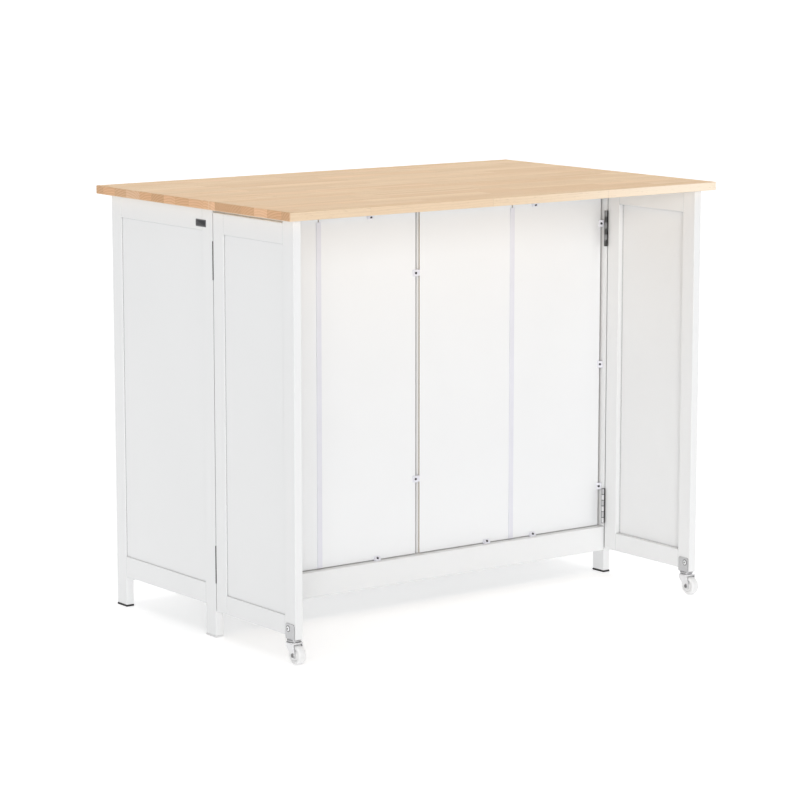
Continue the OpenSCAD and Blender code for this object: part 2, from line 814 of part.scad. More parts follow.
// Side view of a fork leg, with y to the right and the axle's boss below.
module fork_outline() {
    y = -caster_trail;
    top = z_crown + crown_t;
    difference() {
        union() {
            polygon([[fork_back, top], [fork_back, z_crown - 8], [y + 6, wheel_r - 3],
                     [y - 5, wheel_r - 4], [y - 6.8, wheel_r + 2], [-fork_front, z_crown - 6],
                     [-fork_front, top]]);
            translate([y, wheel_r]) circle(r = axle_boss);
        }
        translate([y, wheel_r]) circle(r = axle_r, $fn = bore_fn);
    }
}

module caster_fork(side) {
    half = wheel_w / 2 + fork_gap;
    color(steel) at_caster(side) {
        difference() {
            union() {
                translate([0, 0, z_crown]) cylinder(h = crown_t, r = crown_r);
                translate([0, 0, z_crown + crown_t]) cylinder(h = lower_race_h, r = lower_race_r);
                box_at([-half - fork_t, -fork_front, z_crown],
                       [half + fork_t, fork_back, z_crown + crown_t]);
                for (s = [-1, 1]) translate([s * (half + fork_t / 2) - fork_t / 2, 0, 0])
                    rotate([90, 0, 90]) linear_extrude(fork_t) fork_outline();
            }
            ball_groove(z_balls);
            translate([0, 0, z_crown - cut])
                cylinder(h = z_race - z_crown + 2 * cut, r = kingpin_r + wheel_clear);
        }
        for (i = [0 : balls - 1]) rotate([0, 0, i * 360 / balls])
            translate([ball_ring, 0, z_balls]) sphere(r = ball_r, $fn = 24);
        translate([0, -caster_trail, wheel_r]) rotate([0, 90, 0]) {
            cylinder(h = 2 * (half + fork_t), r = axle_r, center = true, $fn = bore_fn);
            for (s = [-1, 1]) translate([0, 0, s * (half + fork_t + axle_head_t / 2)])
                cylinder(h = axle_head_t, r = axle_head_r, center = true);
        }
    }
}

module caster_wheel(side) {
    bore = axle_r + wheel_clear;
    half = wheel_w / 2;
    hub_half = half + fork_gap - 0.3;
    color(nylon) at_caster(side)
        translate([0, -caster_trail, wheel_r]) rotate([0, 90, 0]) rotate_extrude($fn = 72) {
            difference() {
                union() {
                    translate([bore, -half]) square([wheel_r - wheel_round - bore, wheel_w]);
                    translate([bore, wheel_round - half])
                        square([wheel_r - bore, wheel_w - 2 * wheel_round]);
                    for (s = [-1, 1])
                        translate([wheel_r - wheel_round, s * (half - wheel_round)])
                            circle(r = wheel_round, $fn = 32);
                    translate([bore, -hub_half]) square([hub_w, 2 * hub_half]);
                }
                for (s = [-1, 1]) translate([dish_ring, s * half]) circle(r = dish_r, $fn = 32);
            }
        }
}

// ---------- drawers ----------

// Drawn for the right-hand bay and mirrored for the left.
module runner_channel(x_web, dir, h) {
    z0 = z_slide + (slide_h - h) / 2;
    y0 = y_front - slide_front - slide_l;
    difference() {
        translate([dir > 0 ? x_web : x_web - slide_flange, y0, z0]) cube([slide_flange, slide_l, h]);
        translate([dir > 0 ? x_web + slide_wall : x_web - slide_flange - 1, y0 - 1, z0 + slide_wall])
            cube([slide_flange - slide_wall + 1, slide_l + 2, h - 2 * slide_wall]);
    }
}

module drawer_runners() {
    color(steel) for (side = [LEFT, RIGHT]) on_side(side) {
        runner_channel(x_in, -1, slide_h);
        runner_channel(x_mid, 1, slide_h);
    }
}

module drawer_slides(side) {
    inner_h = slide_h - 2 * slide_wall - 2 * slide_clear;
    color(steel) on_side(side) {
        runner_channel(x_box_out, 1, inner_h);
        runner_channel(x_box_in, -1, inner_h);
    }
}

module drawer_front(side) {
    a = [x_mid + front_gap, y_front - board_t, z_mid_top + front_gap];
    b = [x_in - front_gap, y_front, z_under - front_top_w - front_gap];
    color(paint) on_side(side) difference() {
        board_at(a, b);
        box_at([a.x + field_border, b.y - panel_recess, a.z + field_border],
               [b.x - field_border, b.y + 1, b.z - field_border]);
    }
}

module drawer_box(side) {
    y1 = y_front - board_t;
    y0 = y1 - box_l;
    z0 = z_mid_top + box_foot;
    z_floor = z0 + box_bottom;
    reach = box_t / 2;
    color(paint) on_side(side) {
        difference() {
            union() {
                board_at([x_box_in, y0, z0], [x_box_in + box_t, y1, z0 + box_h], thin_ease);
                board_at([x_box_out - box_t, y0, z0], [x_box_out, y1, z0 + box_h], thin_ease);
                board_at([x_box_in + box_t, y0, z0], [x_box_out - box_t, y0 + box_t, z0 + box_h], thin_ease);
            }
            box_at([x_box_in + box_t - reach - fit, y0 + box_t - reach - fit, z_floor - fit],
                   [x_box_out - box_t + reach + fit, y1 + 1, z_floor + panel_t + fit]);
        }
        box_at([x_box_in + box_t - reach, y0 + box_t - reach, z_floor],
               [x_box_out - box_t + reach, y1, z_floor + panel_t]);
    }
}

// A turned knob along +y, with its foot at the origin.
module knob() {
    foot_r = 7;
    foot_t = 2;
    stem_r = 5;
    head_t = 9;
    dome_r = knob_d * 0.9;
    rotate([-90, 0, 0]) rotate_extrude($fn = 64) {
        square([foot_r, foot_t]);
        square([stem_r, knob_l - foot_t]);
        intersection() {
            translate([0, knob_l - dome_r]) circle(r = dome_r, $fn = 96);
            translate([0, knob_l - head_t]) square([knob_d / 2, head_t]);
        }
    }
}

module drawer_knob(side) {
    color(steel) on_side(side)
        translate([(x_mid + x_in) / 2, y_front - panel_recess, z_mid_top + drawer_h / 2])
            knob();
}

// ---------- doors ----------

// A door's own axes: width from the hinge edge, outer face outside.
module in_door(side) {
    on_side(side) translate([x_door_edge, y_front, 0]) rotate([0, 0, 180]) children();
}

module door_frame(side) {
    color(paint) in_door(side) {
        frame_stile(DOOR, z_door, z_door_top);
        frame_far_stile(DOOR, z_door, z_door_top);
        frame_rails(DOOR);
    }
}

module door_panel(side) {
    color(paint) in_door(side) frame_panel(DOOR);
}

module door_fittings(side) {
    color(steel) {
        at_door_hinges(side) board_hinge(door_hinge_l, door_knuckles, false);
        on_side(side) translate([x_door_edge - door_w + door_stile / 2, y_front,
                                 z_door_top - door_stile - 40]) knob();
    }
}

// Magnetic catches under the rails between drawers and doors.
module door_catches() {
    color(plastic) for (side = [LEFT, RIGHT]) on_side(side)
        board_at([x_mid, y_front - board_t - 14, z_door_top - 60],
                 [x_mid + 14, y_front - board_t - 0.4, z_door_top - 20], 1);
}

worktop();
drop_leaf();
leaf_hinge_plates();
leaf_hinge_leaves();
leg_back(LEFT);  // leg_back_left
leg_back(RIGHT);  // leg_back_right
leg_front(LEFT);  // leg_front_left
leg_front(RIGHT);  // leg_front_right
side_rails(LEFT);  // side_rails_left
side_rails(RIGHT);  // side_rails_right
side_panel(LEFT);  // side_panel_left
side_panel(RIGHT);  // side_panel_right
bottom_board();
centre_partition();
back_top_rail();
back_bottom_rail();
front_rails();
back_battens();
back_panel(LEFT);  // back_panel_left
back_panel(RIGHT);  // back_panel_right
back_joint_strips();
panel_clips();
clip_screws();
shelves();
shelf_pins();
leg_glides();
drawer_runners();
gate_hinge_plates();
door_hinge_plates();
door_catches();
gate_hinge_stile(LEFT);  // gate_left_hinge_stile
gate_end_stile(LEFT);  // gate_left_end_stile
gate_rails(LEFT);  // gate_left_rails
gate_panel(LEFT);  // gate_left_panel
gate_hinge_leaves(LEFT);  // gate_left_hinge_leaves
caster_bracket(LEFT);  // caster_left_bracket
caster_fork(LEFT);  // caster_left_fork
caster_wheel(LEFT);  // caster_left_wheel
gate_hinge_stile(RIGHT);  // gate_right_hinge_stile
gate_end_stile(RIGHT);  // gate_right_end_stile
gate_rails(RIGHT);  // gate_right_rails
gate_panel(RIGHT);  // gate_right_panel
gate_hinge_leaves(RIGHT);  // gate_right_hinge_leaves
caster_bracket(RIGHT);  // caster_right_bracket
caster_fork(RIGHT);  // caster_right_fork
caster_wheel(RIGHT);  // caster_right_wheel
drawer_front(LEFT);  // drawer_left_front
drawer_box(LEFT);  // drawer_left_box
drawer_slides(LEFT);  // drawer_left_slides
drawer_knob(LEFT);  // drawer_left_knob
drawer_front(RIGHT);  // drawer_right_front
drawer_box(RIGHT);  // drawer_right_box
drawer_slides(RIGHT);  // drawer_right_slides
drawer_knob(RIGHT);  // drawer_right_knob
door_frame(LEFT);  // door_left_frame
door_panel(LEFT);  // door_left_panel
door_fittings(LEFT);  // door_left_fittings
door_frame(RIGHT);  // door_right_frame
door_panel(RIGHT);  // door_right_panel
door_fittings(RIGHT);  // door_right_fittings
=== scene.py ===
"""Finishes, small fastenings and studio for a drop leaf kitchen island.

Metres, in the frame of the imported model: +Z is up, X runs along the worktop, the leaf is on
the -Y side and the drawers and doors are on the +Y side.
"""

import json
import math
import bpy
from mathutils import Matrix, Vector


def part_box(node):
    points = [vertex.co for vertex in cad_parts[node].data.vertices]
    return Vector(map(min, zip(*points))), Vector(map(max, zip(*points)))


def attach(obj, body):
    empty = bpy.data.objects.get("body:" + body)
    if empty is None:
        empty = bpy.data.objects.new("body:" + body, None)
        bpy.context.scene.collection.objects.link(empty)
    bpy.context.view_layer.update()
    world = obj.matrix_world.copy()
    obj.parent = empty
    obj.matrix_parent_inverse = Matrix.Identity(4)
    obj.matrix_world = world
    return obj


bl_info = {
    "name": "Drop Leaf Kitchen Island",
    "version": (1, 0, 0),
    "blender": (4, 5, 0),
    "location": "View3D > Sidebar > Island",
    "description": "Finishes, fastenings and a studio for a kitchen island with a drop leaf",
    "category": "Object",
}

import bmesh
import bpy
from bpy.props import FloatProperty, FloatVectorProperty, PointerProperty
from mathutils import Matrix, Vector

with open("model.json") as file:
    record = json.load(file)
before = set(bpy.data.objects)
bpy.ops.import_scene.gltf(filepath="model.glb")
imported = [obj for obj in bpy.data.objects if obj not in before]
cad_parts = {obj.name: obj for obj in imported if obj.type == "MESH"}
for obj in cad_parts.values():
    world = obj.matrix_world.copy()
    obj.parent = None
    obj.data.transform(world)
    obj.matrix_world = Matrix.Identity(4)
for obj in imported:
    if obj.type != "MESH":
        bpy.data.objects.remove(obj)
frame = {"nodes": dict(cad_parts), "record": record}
NODES = frame["nodes"]
SLOT_OF = {part["node"]: part["material_slot"] for part in frame["record"]["subparts"]}
MM = 0.001

JOINTS = frame["record"]["behaviour"]["joints"]
PLACE_OF = {joint_shade["name"]: joint_shade.get("pos_m") for joint_shade in JOINTS}

# hinge leaves of the CAD: thickness, number of holes, how far the middle hole is out of line,
# and a length that only leaves reach
LEAF_T = 1.2 * MM
LEAF_SCREWS = 3
LEAF_STAGGER = 2.5 * MM
LEAF_MIN_L = 50 * MM
KNUCKLE_L = 80 * MM / 6  # one of the six of a gate hinge

# from a leaf's middle to the face that it is fixed to, and from its edge to its row of holes,
# on gates and doors and under the worktop
FACE_OFF, HOLE_INSET = 1.5 * MM, 7.5 * MM
UNDER_OFF, UNDER_INSET = 2.8 * MM, 9.9 * MM

# screws of the CAD's saddles: how far the two are apart, and their height over the stile's end
SADDLE_SCREW_STEP = 11 * MM
SADDLE_SCREW_RISE = 20 * MM

# bounds between places with different finishes, and of the painted shade on the upper hinges
BRACKET_TOP = 0.107  # gate hinges are higher than this
FORK_TOP = 0.046
CABINET_Y, CABINET_HALF = 0.14, 0.175  # the hinges of gates and doors are outside of this
DOOR_HINGE_X = 0.455
LEAF_EDGE_Y = -0.08
MIDDLE_Y, MIDDLE_Z = 0.1, 0.4

# wood: finger joints, growth rings on the faces and on the ends, and the depth of the pith
TOOTH_W = 5.5 * MM
RING_W = 4.4 * MM
END_RING_W = 5.6 * MM
PITH_Z, PITH_SPREAD = 0.86, 0.07

# painted shade: dark strips in the joints at the gate hinges: thickness, depth and inset from the
# leg's face
HINGE_SHADOW_T = 2.5 * MM
HINGE_SHADOW_DEPTH = 3.2 * MM
HINGE_SHADOW_INSET = 0.2 * MM

# blank plate on the side frame, with a darker field on it
PLATE_Y, PLATE_Z = -0.010, 0.864
PLATE_SIZE = (38 * MM, 15 * MM, 0.6 * MM)
FIELD_SIZE = (34.5 * MM, 11.5 * MM, 0.15 * MM)
FIELD_RISE = 0.61 * MM

# tones that belong to one finish only
FIBRE_DARK, FIBRE_LIGHT = (0.42, 0.34, 0.26), (0.56, 0.48, 0.38)
SCUFF = (0.55, 0.54, 0.52)
DUST = (0.25, 0.24, 0.23)
PALE_GLIDE = (0.8, 0.8, 0.8)
RUBBED_OXIDE = (0.3, 0.3, 0.3)
# lighter sharp edges of the steel, wear with a painted highlight
WEAR_AND_HIGHLIGHT_STEEL = (0.82, 0.82, 0.83)
# forks, and the painted shade on their sharp edges
FORK_STEEL, FORK_EDGE_SHADE = (0.76, 0.76, 0.77), (0.12, 0.12, 0.12)
AXLE_STEEL = (0.2, 0.2, 0.2)
# painted screw heads, and the painted shade at their rims and sockets
HEAD_STEEL, RIM_SHADE_STEEL = (0.85, 0.85, 0.86), (0.07, 0.07, 0.07)
# painted shade in the gaps and crevices of the knuckles
GAP_SHADE_STEEL = (0.03, 0.03, 0.03)
LOWER_STEEL = ((0.59, 0.59, 0.6), (0.43, 0.43, 0.44))  # knuckles of the lower hinges, by turns
# knuckles of the upper hinges, darker by painted shade, by turns
SHADED_UPPER_STEEL = ((0.07, 0.07, 0.07), (0.22, 0.22, 0.22))

# studio: property of its level, direction and width in degrees of each lamp
LAMPS = {
    "front_lamp": ("front_light", (-0.52, -0.84, 0.14), 26),
    "top_lamp": ("top_light", (-0.05, -0.10, 1.0), 55),
    "back_lamp": ("back_light", (0.45, 0.85, 0.35), 40),
}
LAMP_DISTANCE = 4
FLOOR_R = 60
FLOOR_COLOR = (0.9, 0.9, 0.9, 1)
FLOOR_LIFTS = (0.22, 0.36)  # glow of the floor for the object, and where it is seen
WHITE = (1, 1, 1, 1)
SENSOR_W = 36
CLIP_END = 200


# ---------- shader expressions ----------


class Wire:
    """A socket of a material's node tree. Its operators add Math nodes behind it."""

    def __init__(self, tree, socket=None):
        self.tree = tree
        self.socket = socket

    def node(self, kind, settings=None, sockets=None, out=0):
        """Adds any node: first its settings, then the values or links of its sockets."""
        made = self.tree.nodes.new(kind)
        for name, value in (settings or {}).items():
            setattr(made, name, value)
        for key, value in (sockets or {}).items():
            if isinstance(value, Wire):
                self.tree.links.new(value.socket, made.inputs[key])
            else:
                made.inputs[key].default_value = value
        return Wire(self.tree, made.outputs[out] if len(made.outputs) else None)

    def math(self, operation, *values):
        return self.node("ShaderNodeMath", {"operation": operation}, dict(enumerate(values)))

    def __add__(self, other):
        return self.math("ADD", self, other)

    __radd__ = __add__

    def __sub__(self, other):
        return self.math("SUBTRACT", self, other)

    def __rsub__(self, other):
        return self.math("SUBTRACT", other, self)

    def __mul__(self, other):
        return self.math("MULTIPLY", self, other)

    __rmul__ = __mul__

    def __truediv__(self, other):
        return self.math("DIVIDE", self, other)

    def __pow__(self, other):
        return self.math("POWER", self, other)

    def __abs__(self):
        return self.math("ABSOLUTE", self)

    def floor(self):
        return self.math("FLOOR", self)

    def fract(self):
        return self.math("FRACT", self)

    def ramp(self, low, high):
        """0 below low, 1 above high and smooth between them; low may be above high."""
        return self.node(
            "ShaderNodeMapRange",
            {"interpolation_type": "SMOOTHSTEP"},
            {"Value": self, "From Min": low, "From Max": high},
        )

    def vector(self, x, y, z):
        return self.node("ShaderNodeCombineXYZ", None, {0: x, 1: y, 2: z})

    def split(self):
        """The three parts of a vector."""
        parts = self.node("ShaderNodeSeparateXYZ", None, {0: self}).socket.node.outputs
        return [Wire(self.tree, part) for part in parts]

    def scaled(self, x, y, z):
        return self.node(
            "ShaderNodeVectorMath", {"operation": "MULTIPLY"}, {0: self, 1: (x, y, z)}
        )

    def moved(self, offset):
        return self.node("ShaderNodeVectorMath", {"operation": "ADD"}, {0: self, 1: offset})

    def noise(self, scale, detail=2.0, roughness=0.5):
        """Smooth noise from 0 to 1 at this place, with scale in cells a metre."""
        return self.node(
            "ShaderNodeTexNoise",
            None,
            {"Vector": self, "Scale": scale, "Detail": detail, "Roughness": roughness},
        )

    def chance(self):
        """Three random values from 0 to 1 for each whole vector."""
        return self.node("ShaderNodeTexWhiteNoise", None, {"Vector": self}, "Color").split()

    def blend(self, first, second):
        """The colour first where this is 0, and second where it is 1."""
        first, second = (c if isinstance(c, Wire) else (*c, 1.0) for c in (first, second))
        return self.node("ShaderNodeMix", {"data_type": "RGBA"}, {0: self, 6: first, 7: second}, 2)

    def tint(self, color, share):
        """A colour where this noise is high, and a share of it where it is low."""
        return self.ramp(0.3, 0.7).blend(shaded(color, share), color)


class Finish:
    """A new material with one Principled shader. place is a point of the object in metres."""

    def __init__(self, name):
        self.material = bpy.data.materials.new(name)
        self.material.use_nodes = True
        tree = self.material.node_tree
        tree.nodes.clear()
        self.wire = Wire(tree)
        self.place = self.wire.node("ShaderNodeTexCoord", None, None, "Object")
        self.facing = self.wire.node("ShaderNodeTexCoord", None, None, "Normal")

    def rounded(self, radius):
        """The normal of a surface whose edges are rounded to a radius in metres."""
        return self.wire.node("ShaderNodeBevel", {"samples": 6}, {"Radius": radius})

    def sharp_edge(self, radius):
        """1 on edges sharper than a radius in metres, and 0 on flat faces."""
        flat = self.wire.node("ShaderNodeNewGeometry", None, None, "True Normal")
        dot = self.wire.node(
            "ShaderNodeVectorMath",
            {"operation": "DOT_PRODUCT"},
            {0: self.rounded(radius), 1: flat},
            "Value",
        )
        return dot.ramp(0.995, 0.9)

    def crevice(self, distance):
        """1 deep in corners and joints narrower than a distance in metres, and 0 in the open."""
        sockets = {"Distance": distance}
        return 1 - self.wire.node("ShaderNodeAmbientOcclusion", {"samples": 8}, sockets, "AO")

    def bump(self, height, distance, normal=None):
        sockets = {"Height": height, "Distance": distance, "Strength": 1.0}
        if normal is not None:
            sockets["Normal"] = normal
        return self.wire.node("ShaderNodeBump", None, sockets)

    def surface(self, sockets):
        """Ends the material with the shader's sockets."""
        shader = self.wire.node("ShaderNodeBsdfPrincipled", None, sockets)
        self.wire.node("ShaderNodeOutputMaterial", None, {"Surface": shader})
        return self.material


# ---------- finishes ----------


def shaded(color, *shares):
    """A colour with each channel times its own share, or with all three times a single one."""
    return tuple(min(1.0, channel * share) for channel, share in zip(color, shares * 3))


def off_axis(first, second):
    """How far a point is from the line on which both coordinates are 0."""
    return (first * first + second * second) ** 0.5


def painted_wood(settings):
    """Sprayed satin white lacquer on sanded boards, with painted highlights on edges and painted
    shade in joints and corners.
    """
    finish = Finish("white_paint")
    paint = settings.paint_color
    haze = finish.place.noise(3.0, 3.0)
    peel = finish.place.noise(420.0, 3.0, 0.6)
    # painted highlight: the paint is lighter on its sharp edges, in patches
    edge_wear_and_light = finish.sharp_edge(0.9 * MM) * finish.place.noise(90.0, 4.0).ramp(0.35, 0.75)
    # painted shade: the paint darkens in corners, recesses and joints narrower than 5 mm
    joint_shade = finish.crevice(5 * MM).ramp(0.06, 0.6) * 0.8
    color = edge_wear_and_light.blend(haze.tint(paint, 0.985), shaded(paint, 1.05))
    return finish.surface(
        {
            "Base Color": joint_shade.blend(color, shaded(paint, 0.55)),
            "Roughness": 0.36 + peel * 0.06 + haze * 0.05 - edge_wear_and_light * 0.06,
            "Normal": finish.bump(peel, 0.02 * MM, finish.rounded(0.8 * MM)),
            "Specular IOR Level": 0.42,
        }
    )


def coated_hardboard(settings):
    """Thin hardboard with a smooth white coat and brown, fibrous cut edges."""
    finish = Finish("hardboard")
    cut_edge = abs(finish.facing.split()[1]).ramp(0.6, 0.4)
    cloud = finish.place.noise(5.0, 2.0)
    fibre = finish.place.noise(900.0, 3.0, 0.65)
    face = cloud.tint(settings.hardboard_color, 0.99)
    edge = fibre.ramp(0.3, 0.7).blend(FIBRE_DARK, FIBRE_LIGHT)
    return finish.surface(
        {
            "Base Color": cut_edge.blend(face, edge),
            "Roughness": 0.34 + cut_edge * 0.4 + fibre * 0.05,
            "Normal": finish.bump(fibre, 0.012 * MM),
        }
    )


def jointed_wood(settings):
    """Pale lacquered staves, finger-jointed end to end and glued side by side."""
    finish = Finish("worktop_wood")
    wire = finish.wire
    x, y, z = finish.place.split()

    # rows of staves whose widths vary a little
    waver = (finish.place.scaled(0, 1, 0).noise(9.0) - 0.5) * 0.9
    across = y / settings.stave_w + waver
    row = across.floor()
    row_chance = wire.vector(row, 3.0, 7.0).chance()
    teeth = abs((y / TOOTH_W).fract() - 0.5) * (2 * TOOTH_W)
    along = (x + teeth) / settings.stave_l + row_chance[0] * 9.0
    stave = along.floor()
    tone, hue, turn = wire.vector(stave, row, 5.0).chance()

    # growth rings round a pith that lies well below or above each stave
    sway = finish.place.scaled(1.6, 3.0, 3.0).moved(wire.vector(turn * 9.0, tone * 9.0, 0.0))
    drift = (sway.noise(1.0, 2.0) - 0.5) * 0.02
    pith_y = across.fract() * settings.stave_w + (tone - 0.5) * 0.09 + drift
    pith_z = z - (PITH_Z - hue * PITH_SPREAD) + drift
    from_pith = off_axis(pith_y, pith_z)
    ring = (from_pith / RING_W + turn * 7.0).fract()
    late = ring.ramp(0.25, 0.92) * ring.ramp(1.0, 0.94)

    # pores and fine fibres, long along the board and round on its ends
    shuffle = wire.vector(tone * 11.0, hue * 13.0, turn * 17.0)
    grain = finish.place.scaled(14, 520, 520).moved(shuffle).noise(1.0, 3.0, 0.6)
    pore = finish.place.scaled(55, 1500, 1500).moved(shuffle).noise(1.0, 1.0).ramp(0.66, 0.76)
    broad = finish.place.scaled(2.2, 34, 34).moved(shuffle).noise(1.0, 2.0)

    light, dark = settings.wood_light, settings.wood_dark
    base = hue.ramp(0.2, 0.8).blend(light, shaded(light, 0.99, 0.94, 0.90))
    shade = late * 0.30 + grain.ramp(0.35, 0.8) * 0.30 + tone * 0.26 + broad.ramp(0.3, 0.8) * 0.2
    long_grain = shade.blend(base, dark)

    # ends of the boards show the rings in a deeper colour, block by block, and less so the leaf's
    side_x, side_y, side_z = finish.facing.split()
    end = abs(side_x).ramp(0.6, 0.8)
    end_ring = (from_pith / END_RING_W + turn * 7.0 + broad * 0.7).fract()
    end_late = end_ring.ramp(0.2, 0.9) * end_ring.ramp(1.0, 0.9)
    leaf = y.ramp(LEAF_EDGE_Y + 10 * MM, LEAF_EDGE_Y - 10 * MM) * 0.2
    end_shade = end_late * 0.3 + tone.ramp(0.1, 0.9) * 0.55 + grain * 0.35 - leaf
    end_base = hue.ramp(0.4, 0.6).blend(
        settings.end_light, shaded(settings.end_light, 1.05, 0.97, 0.9)
    )
    color = end.blend(long_grain, end_shade.blend(end_base, settings.end_dark))

    # the underside is paler, and the long front edges get a painted highlight, most of all towards
    # the right
    under = side_z.ramp(-0.6, -0.8) * 0.6
    front = under + side_y.ramp(-0.6, -0.8) * (0.36 + x.ramp(-0.1, 0.5) * 0.46)
    color = front.blend(color, settings.wood_pale)

    # glue lines between the staves
    seam_y = abs(across.fract() - 0.5).ramp(0.494, 0.499)
    seam_x = abs(along.fract() - 0.5).ramp(0.4988, 0.4997) * (1 - end)
    seam = (seam_y + seam_x).ramp(0.2, 1.0) * 0.45
    color = seam.blend(color, shaded(dark, 0.62))
    color = (pore * 0.5).blend(color, shaded(dark, 0.6))

    return finish.surface(
        {
            "Base Color": color,
            "Roughness": 0.55 + grain * 0.08 + pore * 0.12 + end * 0.1,
            "Normal": finish.bump(grain * 0.4 - pore - seam, 0.05 * MM, finish.rounded(1.6 * MM)),
            "Specular IOR Level": 0.06,
        }
    )


def drawn_plastic(settings):
    """White plastic with the faint streaks of an extruded strip."""
    finish = Finish("white_plastic")
    streak = finish.place.scaled(900, 900, 6).noise(1.0, 2.0)
    return finish.surface(
        {
            "Base Color": finish.place.noise(20.0, 2.0).tint(settings.plastic_color, 0.975),
            "Roughness": 0.32 + streak * 0.12,
            "Normal": finish.bump(streak, 0.01 * MM, finish.rounded(0.4 * MM)),
            "Subsurface Weight": 0.04,
            "Subsurface Scale": 2 * MM,
            "Subsurface Radius": (1.0, 1.0, 1.0),
        }
    )


def wheel_nylon(settings):
    """Slightly clouded white nylon, scuffed where it rolls."""
    finish = Finish("wheel_plastic")
    cloud = finish.place.noise(70.0, 3.0)
    tread = abs(finish.facing.split()[0]).ramp(0.5, 0.2)
    scuff = finish.place.scaled(60, 700, 700).noise(1.0, 4.0, 0.7).ramp(0.62, 0.8) * tread
    return finish.surface(
        {
            "Base Color": (scuff * 0.35).blend(cloud.tint(settings.nylon_color, 0.97), SCUFF),
            "Roughness": 0.3 + cloud * 0.1 + scuff * 0.3,
            "Normal": finish.bump(cloud * 0.3 - scuff, 0.03 * MM, finish.rounded(0.5 * MM)),
            "Subsurface Weight": 0.12,
            "Subsurface Scale": 3 * MM,
            "Subsurface Radius": (1.0, 1.0, 1.0),
        }
    )


def knuckle_steel(finish):
    """Where the knuckles of the gate hinges are, and their colour.

    Those of gate and leg differ, with painted shade in their gaps and crevices. The upper hinges
    are darker with painted shade.
    """
    x, y, z = finish.place.split()
    pin_x, pin_y, _ = PLACE_OF["gate_right_fold"]
    knuckle = off_axis(abs(x) - pin_x, y - pin_y).ramp(4.0 * MM, 3.7 * MM)
    feet = sorted({round(low.z, 4) for low, high in solid_boxes("gate_hinge_plates")})
    foot = z.ramp(feet[0] + 0.1, feet[0] + 0.101) * (feet[-1] - feet[0]) + feet[0]
    order = (z - foot) / KNUCKLE_L
    # painted shade in the gaps between the knuckles
    joint_shade = abs(order.fract() - 0.5).ramp(0.41, 0.45)
    turns = (order * 0.5).fract().ramp(0.49, 0.51)
    # painted shade: the upper hinges are darker, as if in the leaf's shadow
    upper = z.ramp(MIDDLE_Z, MIDDLE_Z + 10 * MM)
    bright = turns.blend(
        upper.blend(LOWER_STEEL[0], SHADED_UPPER_STEEL[0]), upper.blend(LOWER_STEEL[1], SHADED_UPPER_STEEL[1])
    )
    # painted shade also fills the crevices beside the knuckles
    gap_shade = joint_shade.math("MAXIMUM", joint_shade, finish.crevice(9 * MM).ramp(0.3, 0.62))
    return knuckle, gap_shade.blend(bright, GAP_SHADE_STEEL)


def caster_steel(finish, fork, bracket_color):
    """The colour of the casters: bright forks with darker axles, and screws in the saddles."""
    x, y, z = finish.place.split()
    _, axle_y, axle_z = PLACE_OF["caster_right_roll"]
    axle = off_axis(y - axle_y, z - axle_z).ramp(4.4 * MM, 4.0 * MM)
    color = fork.blend(bracket_color, axle.blend(FORK_STEEL, AXLE_STEEL))

    # the saddles' screws are painted: bright heads, with painted shade round the rim and in the
    # socket
    saddle_x, saddle_y, _ = PLACE_OF["caster_right_swivel"]
    outer = (abs(x) - saddle_x).ramp(-1 * MM, 1 * MM)
    screw_y = outer * SADDLE_SCREW_STEP + (saddle_y - SADDLE_SCREW_STEP / 2)
    screw_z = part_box("gate_right_end_stile")[0].z + SADDLE_SCREW_RISE
    from_screw = off_axis(z - screw_z, y - screw_y)
    rim = from_screw.ramp(4.8 * MM, 5.4 * MM) + from_screw.ramp(2.2 * MM, 1.8 * MM)
    screw = from_screw.ramp(6.9 * MM, 6.4 * MM)
    return screw.blend(color, rim.blend(HEAD_STEEL, RIM_SHADE_STEEL))


def plated_steel(settings):
    """Pressed steel with zinc plating, which is duller on the hinges of gates and doors."""
    finish = Finish("zinc_steel")
    _, y, z = finish.place.split()
    outside = abs(y - CABINET_Y).ramp(CABINET_HALF - 3 * MM, CABINET_HALF + 3 * MM)
    hinge = z.ramp(BRACKET_TOP - 2 * MM, BRACKET_TOP + 2 * MM) * outside
    fork = z.ramp(FORK_TOP + 2 * MM, FORK_TOP - 2 * MM)
    spangle = finish.place.noise(260.0, 3.0, 0.6)
    marks = finish.place.scaled(700, 700, 60).noise(1.0, 2.0)
    edge_wear_and_light = finish.sharp_edge(0.7 * MM)
    # painted shade: darker in crevices narrower than 3 mm, in the hinges' colour, except on the
    # hinges
    crevice_shade = finish.crevice(3 * MM).ramp(0.08, 0.5) * 0.65 * (1 - hinge)

    steel = caster_steel(finish, fork, spangle.tint(settings.steel_color, 0.90))
    steel = hinge.blend(steel, spangle.tint(settings.hinge_color, 0.8))
    steel = crevice_shade.blend(steel, settings.hinge_color)
    knuckle, knuckle_color = knuckle_steel(finish)
    steel = (knuckle * hinge).blend(steel, knuckle_color)
    # sharp edges: painted shade on the forks, and elsewhere a lighter colour, wear with a painted
    # highlight
    edge = fork.blend(WEAR_AND_HIGHLIGHT_STEEL, FORK_EDGE_SHADE)
    return finish.surface(
        {
            "Base Color": (edge_wear_and_light * 0.5 * (1 - crevice_shade)).blend(steel, edge),
            "Metallic": 1.0,
            "Roughness": 0.24 + spangle * 0.14 + marks * 0.08 - edge_wear_and_light * 0.08,
            "Normal": finish.bump(marks * 0.5 + spangle, 0.012 * MM, finish.rounded(0.35 * MM)),
        }
    )


